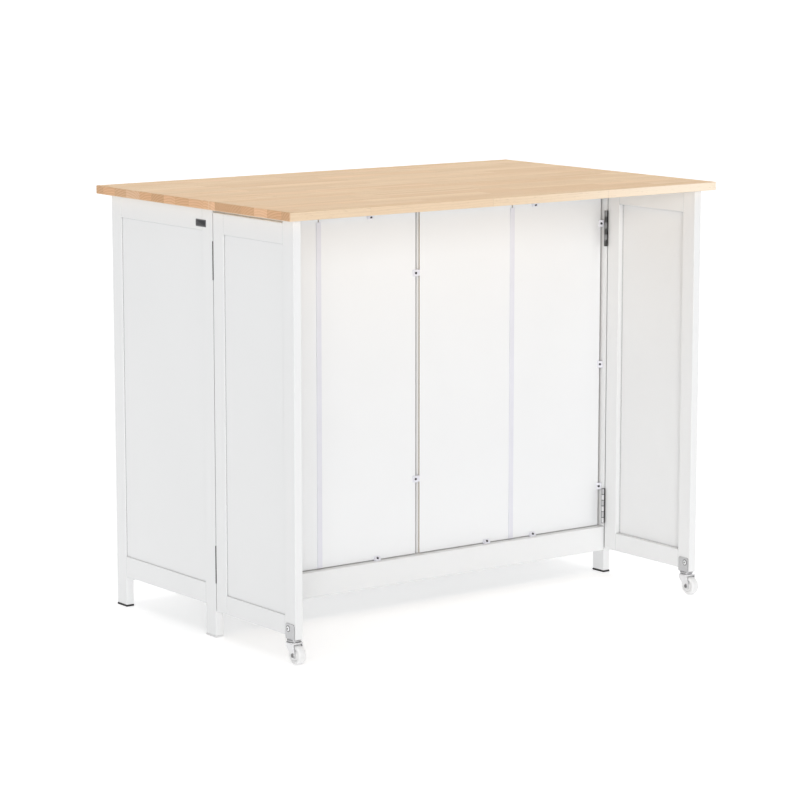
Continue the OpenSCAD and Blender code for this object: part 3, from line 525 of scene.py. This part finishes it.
def turned_nickel(settings):
    """Satin nickel knobs with the fine lines of a lathe, and the duller hinges of the doors."""
    finish = Finish("knob_steel")
    lines = finish.place.scaled(300, 2600, 300).noise(1.0, 2.0)
    knob = finish.place.noise(60.0, 2.0).tint(settings.nickel_color, 0.93)
    hinge = abs(finish.place.split()[0]).ramp(DOOR_HINGE_X - 5 * MM, DOOR_HINGE_X + 5 * MM)
    return finish.surface(
        {
            "Base Color": hinge.blend(knob, settings.hinge_color),
            "Metallic": 1.0,
            "Roughness": 0.28 + lines * 0.12,
            "Normal": finish.bump(lines, 0.008 * MM, finish.rounded(0.4 * MM)),
        }
    )


def blackened_steel(settings):
    """Black oxide on screws, rubbed bright on the rims."""
    finish = Finish("dark_screws")
    grit = finish.place.noise(1200.0, 2.0)
    edge_wear_and_light = finish.sharp_edge(0.3 * MM)
    oxide = grit.blend(settings.screw_color, shaded(settings.screw_color, 1.6))
    return finish.surface(
        {
            "Base Color": (edge_wear_and_light * 0.6).blend(oxide, RUBBED_OXIDE),
            "Metallic": 0.85,
            "Roughness": 0.42 + grit * 0.15 - edge_wear_and_light * 0.1,
            "Normal": finish.bump(grit, 0.01 * MM),
        }
    )


def glide_rubber(settings):
    """Matt black moulded glides, dusty at the foot, and a pale one at the left gate's leg."""
    finish = Finish("black_plastic")
    pebble = finish.place.noise(1500.0, 2.0, 0.7)
    x, y, z = finish.place.split()
    dust = z.ramp(2.5 * MM, 0.0) * finish.place.noise(200.0, 3.0).ramp(0.4, 0.8)
    pale = x.ramp(0.0, -10 * MM) * y.ramp(MIDDLE_Y, MIDDLE_Y - 10 * MM)
    color = pale.blend(settings.glide_color, PALE_GLIDE)
    return finish.surface(
        {
            "Base Color": (dust * 0.4 * (1 - pale)).blend(color, DUST),
            "Roughness": 0.62 + pebble * 0.15 + dust * 0.1,
            "Normal": finish.bump(pebble, 0.03 * MM, finish.rounded(0.6 * MM)),
        }
    )


FINISHES = {
    "white_paint": painted_wood,
    "hardboard": coated_hardboard,
    "worktop_wood": jointed_wood,
    "white_plastic": drawn_plastic,
    "wheel_plastic": wheel_nylon,
    "zinc_steel": plated_steel,
    "knob_steel": turned_nickel,
    "dark_screws": blackened_steel,
    "black_plastic": glide_rubber,
}


def finish_of(slot):
    """The material of a slot of the record, made when it is first asked for."""
    if slot not in bpy.data.materials or not bpy.data.materials[slot].get("island"):
        old = bpy.data.materials.get(slot)
        if old is not None:
            old.name = slot + "_plain"
        made = FINISHES[slot](bpy.context.scene.island_finish)
        made["island"] = True
    return bpy.data.materials[slot]


def dress(slots):
    """Gives every CAD node of some slots its finish."""
    for name, obj in NODES.items():
        if SLOT_OF[name] in slots:
            material = finish_of(SLOT_OF[name])
            for place in obj.material_slots:
                place.material = material
            if not obj.material_slots:
                obj.data.materials.append(material)


# ---------- geometry ----------


def solid_boxes(node):
    """The lowest and highest corner of each separate solid of a CAD node, from low to high."""
    mesh = bmesh.new()
    mesh.from_mesh(NODES[node].data)
    bmesh.ops.remove_doubles(mesh, verts=mesh.verts, dist=1e-6)
    waiting = set(mesh.verts)
    boxes = []
    while waiting:
        reached = [waiting.pop()]
        corners = []
        while reached:
            vert = reached.pop()
            corners.append(vert.co.copy())
            for edge in vert.link_edges:
                other = edge.other_vert(vert)
                if other in waiting:
                    waiting.remove(other)
                    reached.append(other)
        low = Vector(map(min, *corners))
        high = Vector(map(max, *corners))
        boxes.append((low, high))
    mesh.free()
    return sorted(boxes, key=lambda box: (round(box[0].z, 4), round(box[0].x, 4)))


def turned(mesh, profile, matrix, steps):
    """Turns a profile of (radius, height) round the z axis of a matrix, from a point on it.

    Returns the last ring of vertices, which stays open.
    """
    tip = mesh.verts.new(matrix @ Vector((0, 0, profile[0][1])))
    angles = [2 * math.pi * i / steps for i in range(steps)]
    low = None
    for radius, height in profile[1:]:
        points = [Vector((radius * math.cos(a), radius * math.sin(a), height)) for a in angles]
        high = [mesh.verts.new(matrix @ point) for point in points]
        for i in range(steps):
            j = (i + 1) % steps
            if low is None:
                mesh.faces.new((tip, high[j], high[i]))
            else:
                mesh.faces.new((low[i], low[j], high[j], high[i]))
        low = high
    return low


def cross_screw(mesh, matrix):
    """The countersunk head of a hinge screw, with its flat side on z = 0 of the matrix."""
    head_r, foot_r, thick, recess = 2.9 * MM, 1.5 * MM, 1.1 * MM, 0.8 * MM
    arm, half = 0.66 * head_r, 0.17 * head_r
    profile = [(0, -thick), (foot_r, -thick), (head_r, -0.12 * MM), (head_r - 0.1 * MM, 0)]
    rim = turned(mesh, profile, matrix, 24)
    corners = [(half, half), (half, arm), (-half, arm), (-half, half), (-arm, half)]
    corners += [(-arm, -half), (-half, -half), (-half, -arm), (half, -arm), (half, -half)]
    corners += [(arm, -half), (arm, half)]
    top = [mesh.verts.new(matrix @ Vector((x, y, 0))) for x, y in corners]
    deep = [Vector((x * 0.7, y * 0.7, -recess)) for x, y in corners]
    floor = [mesh.verts.new(matrix @ point) for point in deep]
    edges = []
    for ring in (rim, top):
        for i, vert in enumerate(ring):
            pair = (vert, ring[(i + 1) % len(ring)])
            edges.append(mesh.edges.get(pair) or mesh.edges.new(pair))
    bmesh.ops.triangle_fill(mesh, use_beauty=True, edges=edges)
    for i in range(len(corners)):
        j = (i + 1) % len(corners)
        mesh.faces.new((top[i], top[j], floor[j], floor[i]))
    mesh.faces.new(floor)


def leaf_screws(name, body, node, lift, way, inset=HOLE_INSET):
    """Screws in the countersunk holes of every hinge leaf of a CAD node.

    For a solid on the right, lift goes from its middle to the face that it is fixed by, and
    way is the leaf's direction from the pin. inset goes from the leaf's edge to the holes.
    """
    mesh = bmesh.new()
    for index, (low, high) in enumerate(solid_boxes(node)):
        size = high - low
        if max(size) < LEAF_MIN_L:
            continue
        middle = (low + high) / 2
        mirror = Vector((-1 if middle.x < 0 else 1, 1, 1))
        up, out = Vector(lift) * mirror, Vector(way) * mirror
        pin = Vector((1, 1, 1)) - Vector(map(abs, up.normalized())) - Vector(map(abs, out))
        edge = middle + up - up.normalized() * LEAF_T + out * abs(size.dot(out)) / 2
        face = (-up).to_track_quat("Z", "Y").to_matrix().to_4x4()
        for i in range(LEAF_SCREWS):
            along = ((i + 0.5) / LEAF_SCREWS - 0.5) * size.dot(pin)
            place = edge + pin * along - out * (inset - (-1) ** i * LEAF_STAGGER / 2)
            turn = Matrix.Rotation(2.4 * (index * LEAF_SCREWS + i), 4, "Z")
            cross_screw(mesh, Matrix.Translation(place) @ face @ turn)
    add_piece(name, mesh, body, "zinc_steel", 0.5)


def rounded_plate(mesh, matrix, size, corner, edge, steps=6):
    """A plate with round corners and a small rounded rim, standing on z = 0 of the matrix."""
    far_x, far_y, thick = size[0] / 2 - corner, size[1] / 2 - corner, size[2]

    def outline(inset, height):
        verts = []
        radius = corner - inset
        for quarter, (sx, sy) in enumerate(((1, 1), (-1, 1), (-1, -1), (1, -1))):
            for i in range(steps + 1):
                angle = math.pi / 2 * (quarter + i / steps)
                x = sx * far_x + radius * math.cos(angle)
                y = sy * far_y + radius * math.sin(angle)
                verts.append(mesh.verts.new(matrix @ Vector((x, y, height))))
        return verts

    rings = [outline(0, 0), outline(0, thick - edge), outline(edge * 0.3, thick - edge * 0.3)]
    rings.append(outline(edge, thick))
    for low, high in zip(rings, rings[1:]):
        for i in range(len(low)):
            j = (i + 1) % len(low)
            mesh.faces.new((low[i], low[j], high[j], high[i]))
    mesh.faces.new(reversed(rings[0]))
    mesh.faces.new(rings[-1])


def add_piece(name, mesh, body, slot, smooth_angle=0.6):
    """Makes an object of a mesh, with a slot's finish, that rides on a body."""
    bmesh.ops.recalc_face_normals(mesh, faces=mesh.faces)
    data = bpy.data.meshes.new(name)
    mesh.to_mesh(data)
    mesh.free()
    obj = bpy.data.objects.new(name, data)
    bpy.context.scene.collection.objects.link(obj)
    data.materials.append(finish_of(slot))
    data.shade_smooth()
    data.set_sharp_from_angle(angle=smooth_angle)
    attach(obj, body)


# ---------- settings ----------


class IslandFinish(bpy.types.PropertyGroup):
    """Colours of the finishes and sizes of the wood's staves."""

    paint_color: FloatVectorProperty(
        name="Paint", description="Lacquer on frames, doors and drawers", subtype="COLOR",
        default=(0.855, 0.86, 0.863), min=0, max=1,
    )
    hardboard_color: FloatVectorProperty(
        name="Hardboard", description="Coat on the hardboard backs", subtype="COLOR",
        default=(0.893, 0.902, 0.912), min=0, max=1,
    )
    plastic_color: FloatVectorProperty(
        name="Strips and clips", description="Plastic of the strips and clips",
        subtype="COLOR", default=(0.80, 0.80, 0.86), min=0, max=1,
    )
    nylon_color: FloatVectorProperty(
        name="Wheels", description="Nylon of the casters' wheels", subtype="COLOR",
        default=(0.86, 0.86, 0.86), min=0, max=1,
    )
    steel_color: FloatVectorProperty(
        name="Plated steel", description="Hinges, casters and runners", subtype="COLOR",
        default=(0.57, 0.57, 0.58), min=0, max=1,
    )
    hinge_color: FloatVectorProperty(
        name="Hinge steel", description="Duller plating of the hinges", subtype="COLOR",
        default=(0.16, 0.16, 0.165), min=0, max=1,
    )
    nickel_color: FloatVectorProperty(
        name="Knobs", description="Satin nickel of the knobs", subtype="COLOR",
        default=(0.44, 0.43, 0.41), min=0, max=1,
    )
    screw_color: FloatVectorProperty(
        name="Dark screws", description="Black oxide of the clips' screws", subtype="COLOR",
        default=(0.035, 0.035, 0.038), min=0, max=1,
    )
    glide_color: FloatVectorProperty(
        name="Glides", description="Moulded glides under the legs", subtype="COLOR",
        default=(0.018, 0.018, 0.018), min=0, max=1,
    )
    wood_light: FloatVectorProperty(
        name="Wood, light", description="Early wood on faces and long edges",
        subtype="COLOR", default=(0.84, 0.612, 0.382), min=0, max=1,
    )
    wood_dark: FloatVectorProperty(
        name="Wood, dark", description="Late wood on faces and long edges",
        subtype="COLOR", default=(0.62, 0.40, 0.21), min=0, max=1,
    )
    # pale colour of the underside, and of the painted highlight on the long front edges
    wood_pale: FloatVectorProperty(
        name="Wood, pale", description="Sapwood of the long front edges",
        subtype="COLOR", default=(1.0, 0.89, 0.745), min=0, max=1,
    )
    end_light: FloatVectorProperty(
        name="End grain, light", description="Lightest blocks on the ends of the boards",
        subtype="COLOR", default=(0.85, 0.59, 0.40), min=0, max=1,
    )
    end_dark: FloatVectorProperty(
        name="End grain, dark", description="Darkest blocks on the ends of the boards",
        subtype="COLOR", default=(0.55, 0.30, 0.145), min=0, max=1,
    )
    stave_w: FloatProperty(
        name="Stave width", description="Mean width of the worktop's staves",
        subtype="DISTANCE", unit="LENGTH", default=0.048, min=0.02, max=0.1,
    )
    stave_l: FloatProperty(
        name="Stave length", description="Length of the worktop's staves",
        subtype="DISTANCE", unit="LENGTH", default=0.31, min=0.1, max=0.8,
    )


class IslandStudio(bpy.types.PropertyGroup):
    """Levels of the lamps and the place of the camera."""

    sky: FloatProperty(
        name="Sky", description="Level of the even light from all round",
        default=0.425, min=0, max=2,
    )
    front_light: FloatProperty(
        name="Front light", description="Light from beside the camera, as a share of white",
        default=0.42, min=0, max=2,
    )
    top_light: FloatProperty(
        name="Top light", description="Light from overhead, as a share of white",
        default=0.27, min=0, max=2,
    )
    back_light: FloatProperty(
        name="Back light", description="Light on the doors' side, as a share of white",
        default=0.25, min=0, max=2,
    )
    camera_place: FloatVectorProperty(
        name="Camera", description="Place of the camera", subtype="XYZ", unit="LENGTH",
        default=(-3.8995, -5.2175, 1.5078),
    )
    camera_turn: FloatProperty(
        name="Turn", description="Turn of the camera from +Y towards +X",
        subtype="ANGLE", unit="ROTATION", default=math.radians(36.621),
    )
    camera_dip: FloatProperty(
        name="Dip", description="How far the camera looks below the horizon",
        subtype="ANGLE", unit="ROTATION", default=math.radians(9.284),
    )
    lens: FloatProperty(
        name="Lens", description="Focal length on a 36 mm sensor, in millimetres",
        default=136.47, min=20, max=400,
    )


# ---------- operators ----------


class ISLAND_OT_worktop(bpy.types.Operator):
    """Give the worktop and the leaf their jointed wood"""

    bl_idname = "island.worktop"
    bl_label = "Worktop and leaf"

    def execute(self, context):
        dress(("worktop_wood",))
        return {"FINISHED"}


class ISLAND_OT_paintwork(bpy.types.Operator):
    """Paint the cabinet, gates, doors and drawers"""

    bl_idname = "island.paintwork"
    bl_label = "Painted frames, doors and drawers"

    def execute(self, context):
        dress(("white_paint",))
        return {"FINISHED"}


class ISLAND_OT_back(bpy.types.Operator):
    """Finish the hardboard backs, their strips, clips and screws"""

    bl_idname = "island.back"
    bl_label = "Hardboard back"

    def execute(self, context):
        dress(("hardboard", "white_plastic", "dark_screws"))
        return {"FINISHED"}


class ISLAND_OT_metalwork(bpy.types.Operator):
    """Finish hinges, casters, runners and knobs"""

    bl_idname = "island.metalwork"
    bl_label = "Metalwork"

    def execute(self, context):
        dress(("zinc_steel", "knob_steel"))
        return {"FINISHED"}


class ISLAND_OT_feet(bpy.types.Operator):
    """Finish the wheels and the glides"""

    bl_idname = "island.feet"
    bl_label = "Wheels and glides"

    def execute(self, context):
        dress(("wheel_plastic", "black_plastic"))
        return {"FINISHED"}


class ISLAND_OT_screws(bpy.types.Operator):
    """Add the cross-head screws of all the hinges"""

    bl_idname = "island.screws"
    bl_label = "Hinge screws"

    def execute(self, context):
        under = (0, 0, UNDER_OFF)
        rows = [
            ("gate_plate", "cabinet", "gate_hinge_plates", (0, FACE_OFF, 0), (1, 0, 0)),
            ("door_plate", "cabinet", "door_hinge_plates", (FACE_OFF, 0, 0), (0, -1, 0)),
            ("leaf_plate", "cabinet", "leaf_hinge_plates", under, (0, 1, 0), UNDER_INSET),
            ("leaf_leaf", "cabinet", "leaf_hinge_leaves", under, (0, -1, 0), UNDER_INSET),
        ]
        for side in ("left", "right"):
            gate, door = f"gate_{side}", f"door_{side}"
            rows += [
                (gate, gate, gate + "_hinge_leaves", (0, -FACE_OFF, 0), (1, 0, 0)),
                (door, door, door + "_fittings", (-FACE_OFF, 0, 0), (0, -1, 0)),
            ]
        for name, *row in rows:
            leaf_screws(name + "_screws", *row)
        return {"FINISHED"}


class ISLAND_OT_hinge_shadows(bpy.types.Operator):
    """Add dark strips, painted shade, that fill the joints of the gate hinges at the legs' outer
    corners
    """

    bl_idname = "island.packing"
    bl_label = "Gate hinge shadows"

    def execute(self, context):
        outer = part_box("leg_back_right")[1].x
        mesh = bmesh.new()
        for low, high in solid_boxes("gate_hinge_plates"):
            side = -1 if low.x < 0 else 1
            x = side * (outer - HINGE_SHADOW_INSET - HINGE_SHADOW_DEPTH)
            foot = Vector((x, high.y - HINGE_SHADOW_T / 2, (low.z + high.z) / 2))
            place = Matrix.Translation(foot) @ Matrix.Rotation(side * math.pi / 2, 4, "Y")
            size = (high.z - low.z, HINGE_SHADOW_T, HINGE_SHADOW_DEPTH)
            rounded_plate(mesh, place, size, 0.8 * MM, 0.25 * MM, 3)
        add_piece("gate_hinge_shadows", mesh, "cabinet", "dark_screws")
        return {"FINISHED"}


class ISLAND_OT_plate(bpy.types.Operator):
    """Add the blank plate on the left-hand side frame"""

    bl_idname = "island.plate"
    bl_label = "Blank side plate"

    def execute(self, context):
        face_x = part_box("side_rails_left")[0].x
        place = (
            Matrix.Translation((face_x, PLATE_Y, PLATE_Z))
            @ Matrix.Rotation(-math.pi / 2, 4, "Y")
            @ Matrix.Rotation(math.pi / 2, 4, "Z")
        )
        mesh = bmesh.new()
        rounded_plate(mesh, place, PLATE_SIZE, 1.5 * MM, 0.25 * MM)
        add_piece("side_plate", mesh, "cabinet", "knob_steel")
        mesh = bmesh.new()
        place = place @ Matrix.Translation((0, 0, FIELD_RISE))
        rounded_plate(mesh, place, FIELD_SIZE, 0.8 * MM, 0.05 * MM)
        add_piece("side_plate_field", mesh, "cabinet", "dark_screws")
        return {"FINISHED"}


class ISLAND_OT_stage(bpy.types.Operator):
    """Add the floor, the soft lamps, the world and the camera"""

    bl_idname = "island.stage"
    bl_label = "Studio"

    def execute(self, context):
        studio = context.scene.island_studio
        self.add_floor()
        self.add_world(context.scene, studio.sky)
        for name, (level, direction, spread) in LAMPS.items():
            self.add_lamp(context.scene, name, getattr(studio, level), direction, spread)
        self.add_camera(context.scene, studio)
        return {"FINISHED"}

    @staticmethod
    def seen_directly(wire):
        """1 for rays from the camera and for those that a mirror or glass passes on."""
        path = wire.node("ShaderNodeLightPath").socket.node.outputs
        seen = Wire(wire.tree, path["Is Camera Ray"])
        for name in ("Is Glossy Ray", "Is Transmission Ray"):
            seen = seen.math("MAXIMUM", seen, Wire(wire.tree, path[name]))
        return seen

    def add_floor(self):
        mesh = bmesh.new()
        bmesh.ops.create_circle(mesh, cap_ends=True, segments=96, radius=FLOOR_R)
        data = bpy.data.meshes.new("floor")
        mesh.to_mesh(data)
        mesh.free()
        floor = bpy.data.objects.new("floor", data)
        bpy.context.scene.collection.objects.link(floor)
        material = bpy.data.materials.new("studio_floor")
        material.use_nodes = True
        tree = material.node_tree
        tree.nodes.clear()
        wire = Wire(tree)
        diffuse = wire.node("ShaderNodeBsdfDiffuse", None, {"Color": FLOOR_COLOR})
        lifts = [
            wire.node("ShaderNodeEmission", None, {"Color": WHITE, "Strength": level})
            for level in FLOOR_LIFTS
        ]
        lift = wire.node(
            "ShaderNodeMixShader", None, {0: self.seen_directly(wire), 1: lifts[0], 2: lifts[1]}
        )
        shown = wire.node("ShaderNodeAddShader", None, {0: diffuse, 1: lift})
        wire.node("ShaderNodeOutputMaterial", None, {"Surface": shown})
        data.materials.append(material)

    def add_world(self, scene, level):
        world = bpy.data.worlds.new("studio")
        scene.world = world
        world.use_nodes = True
        tree = world.node_tree
        tree.nodes.clear()
        wire = Wire(tree)
        even = wire.node("ShaderNodeBackground", None, {"Color": WHITE, "Strength": level})
        white = wire.node("ShaderNodeBackground", None, {"Color": WHITE, "Strength": 1.0})
        shown = wire.node(
            "ShaderNodeMixShader", None, {0: self.seen_directly(wire), 1: even, 2: white}
        )
        wire.node("ShaderNodeOutputWorld", None, {"Surface": shown})

    @staticmethod
    def add_lamp(scene, name, level, direction, spread):
        """A far lamp. Level is the share of white that it gives a face turned to it."""
        data = bpy.data.lights.new(name, "SUN")
        data.energy = level * math.pi
        data.angle = math.radians(spread)
        lamp = bpy.data.objects.new(name, data)
        lamp.rotation_euler = Vector(direction).to_track_quat("Z", "Y").to_euler()
        lamp.location = Vector(direction).normalized() * LAMP_DISTANCE
        scene.collection.objects.link(lamp)

    @staticmethod
    def add_camera(scene, studio):
        data = bpy.data.cameras.new("camera")
        data.sensor_fit = "HORIZONTAL"
        data.sensor_width = SENSOR_W
        data.lens = studio.lens
        data.clip_end = CLIP_END
        camera = bpy.data.objects.new("camera", data)
        camera.location = studio.camera_place
        camera.rotation_euler = (math.pi / 2 - studio.camera_dip, 0, -studio.camera_turn)
        scene.collection.objects.link(camera)
        scene.camera = camera
        scene.view_settings.view_transform = "Standard"


STEPS = (
    ISLAND_OT_stage,
    ISLAND_OT_worktop,
    ISLAND_OT_paintwork,
    ISLAND_OT_back,
    ISLAND_OT_metalwork,
    ISLAND_OT_feet,
    ISLAND_OT_screws,
    ISLAND_OT_hinge_shadows,
    ISLAND_OT_plate,
)


class ISLAND_PT_panel(bpy.types.Panel):
    """The steps and their settings"""

    bl_idname = "ISLAND_PT_panel"
    bl_label = "Kitchen island"
    bl_space_type = "VIEW_3D"
    bl_region_type = "UI"
    bl_category = "Island"

    def draw(self, context):
        for step in STEPS:
            self.layout.operator(step.bl_idname)
        for group in (context.scene.island_finish, context.scene.island_studio):
            box = self.layout.box()
            for name in group.bl_rna.properties.keys():
                if name not in ("rna_type", "name"):
                    box.prop(group, name)


CLASSES = (IslandFinish, IslandStudio, *STEPS, ISLAND_PT_panel)


def register():
    for each in CLASSES:
        bpy.utils.register_class(each)
    bpy.types.Scene.island_finish = PointerProperty(type=IslandFinish)
    bpy.types.Scene.island_studio = PointerProperty(type=IslandStudio)


def unregister():
    del bpy.types.Scene.island_studio
    del bpy.types.Scene.island_finish
    for each in reversed(CLASSES):
        bpy.utils.unregister_class(each)


def corners(box):
    return [list(point) for point in box]


def main():
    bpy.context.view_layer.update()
    register()
    for step in STEPS:
        group, name = step.bl_idname.split(".")
        getattr(getattr(bpy.ops, group), name)()


if __name__ == "__main__":
    main()
